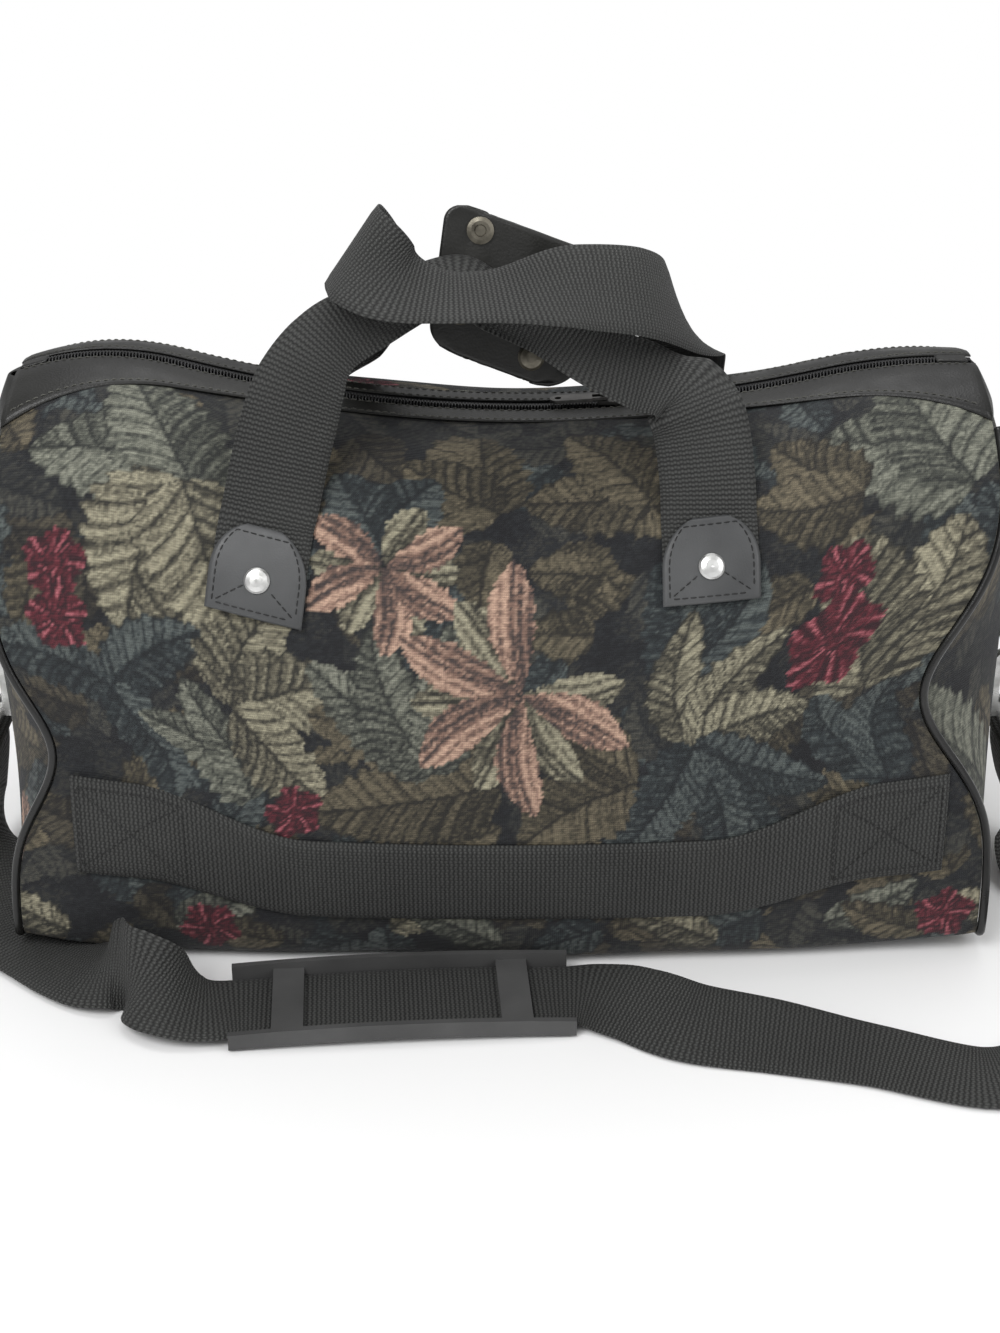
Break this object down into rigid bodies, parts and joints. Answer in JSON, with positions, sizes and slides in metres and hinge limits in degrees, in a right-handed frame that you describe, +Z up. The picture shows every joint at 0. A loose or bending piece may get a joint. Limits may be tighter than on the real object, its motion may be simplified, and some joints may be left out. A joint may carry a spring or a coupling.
{
  "type": "carpet bag",
  "caption": "Soft tapestry carpet bag with a zip along the top, webbing carry handles, a leather handle wrap with press studs and a clip-on shoulder strap with pad.",
  "frame": {"origin": "on the floor under the middle of the bag, strap and pad left out", "axes": "+X along the zip to the right, +Y from front to back, +Z up"},
  "size_m": [0.526, 0.3046, 0.3144],
  "materials": {
    "tapestry": "woven floral tapestry",
    "board": "plain",
    "piping_vinyl": "glossy",
    "trim_vinyl": "grained vinyl",
    "zip_tape": "woven",
    "coil": "satin",
    "zip_metal": "dark satin",
    "nickel": "bright nickel",
    "tab_vinyl": "smooth vinyl",
    "wrap_leather": "matt leather",
    "snap_metal": "dark antique",
    "hardware": "nickel",
    "pad_plastic": "moulded matt",
    "webbing": "ribbed webbing"
  },
  "bodies": {
    "bag": {"front_panel": "tapestry", "back_panel": "tapestry", "base_panel": "tapestry", "base_board": "board", "end_panel_left": "tapestry", "end_panel_right": "tapestry", "piping_front_left": "piping_vinyl", "piping_front_right": "piping_vinyl", "piping_back_left": "piping_vinyl", "piping_back_right": "piping_vinyl", "zip_trim_front": "trim_vinyl", "zip_trim_back": "trim_vinyl", "zip_tape_front": "zip_tape", "zip_tape_back": "zip_tape", "zip_coil": "coil", "zip_end_left": "trim_vinyl", "zip_end_right": "trim_vinyl", "front_handle": "webbing", "back_handle": "webbing", "tab_front_left": "tab_vinyl", "tab_front_right": "tab_vinyl", "tab_back_left": "tab_vinyl", "tab_back_right": "tab_vinyl", "tab_rivets": "nickel", "handle_wrap": "wrap_leather", "wrap_snaps": "snap_metal", "base_strap_front": "webbing", "base_strap_back": "webbing", "ring_loop_left": "webbing", "ring_loop_right": "webbing", "shoulder_strap": "webbing", "shoulder_pad": "pad_plastic"},
    "slider_left": {"slider_left": "zip_metal"},
    "slider_right": {"slider_right": "zip_metal"},
    "pull_left": {"pull_left": "zip_metal"},
    "pull_right": {"pull_right": "zip_metal"},
    "ring_left": {"d_ring_left": "hardware", "hook_left": "hardware"},
    "ring_right": {"d_ring_right": "hardware", "hook_right": "hardware"},
    "gate_left": {"hook_gate_left": "hardware"},
    "gate_right": {"hook_gate_right": "hardware"},
    "eye_left": {"swivel_eye_left": "hardware"},
    "eye_right": {"swivel_eye_right": "hardware"}
  },
  "joints": [
    {"name": "slider_left_travel", "type": "hinge", "parent": "bag", "child": "slider_left", "pos_m": [0.01, 0, 0.7485], "axis": [0, 1, 0], "range_deg": [0, 19.4]},
    {"name": "slider_right_travel", "type": "hinge", "parent": "bag", "child": "slider_right", "pos_m": [0.01, 0, 0.7485], "axis": [0, -1, 0], "range_deg": [0, 7.3]},
    {"name": "pull_left_lift", "type": "hinge", "parent": "slider_left", "child": "pull_left", "pos_m": [0.04507, 0, 0.22316], "axis": [0, 1, 0], "range_deg": [0, 95]},
    {"name": "pull_right_lift", "type": "hinge", "parent": "slider_right", "child": "pull_right", "pos_m": [0.06425, 0, 0.2248], "axis": [0, -1, 0], "range_deg": [0, 95]},
    {"name": "ring_left_swing", "type": "hinge", "parent": "bag", "child": "ring_left", "pos_m": [-0.22561, 0, 0.116], "axis": [0, 1, 0], "range_deg": [0, 75]},
    {"name": "hook_left_swivel", "type": "hinge", "parent": "ring_left", "child": "eye_left", "pos_m": [-0.23101, 0, 0.073], "axis": [0, 0, 1], "range_deg": [-25, 25]},
    {"name": "gate_left_open", "type": "hinge", "parent": "ring_left", "child": "gate_left", "pos_m": [-0.23776, 0, 0.08151], "axis": [0, 1, 0], "range_deg": [0, 24], "stiffness_Nm_per_rad": 0.02, "springref_deg": -11.46},
    {"name": "ring_right_swing", "type": "hinge", "parent": "bag", "child": "ring_right", "pos_m": [0.22554, 0, 0.116], "axis": [0, -1, 0], "range_deg": [0, 75]},
    {"name": "hook_right_swivel", "type": "hinge", "parent": "ring_right", "child": "eye_right", "pos_m": [0.23094, 0, 0.073], "axis": [0, 0, 1], "range_deg": [-25, 25]},
    {"name": "gate_right_open", "type": "hinge", "parent": "ring_right", "child": "gate_right", "pos_m": [0.23769, 0, 0.08151], "axis": [0, -1, 0], "range_deg": [0, 24], "stiffness_Nm_per_rad": 0.02, "springref_deg": -11.46}
  ]
}
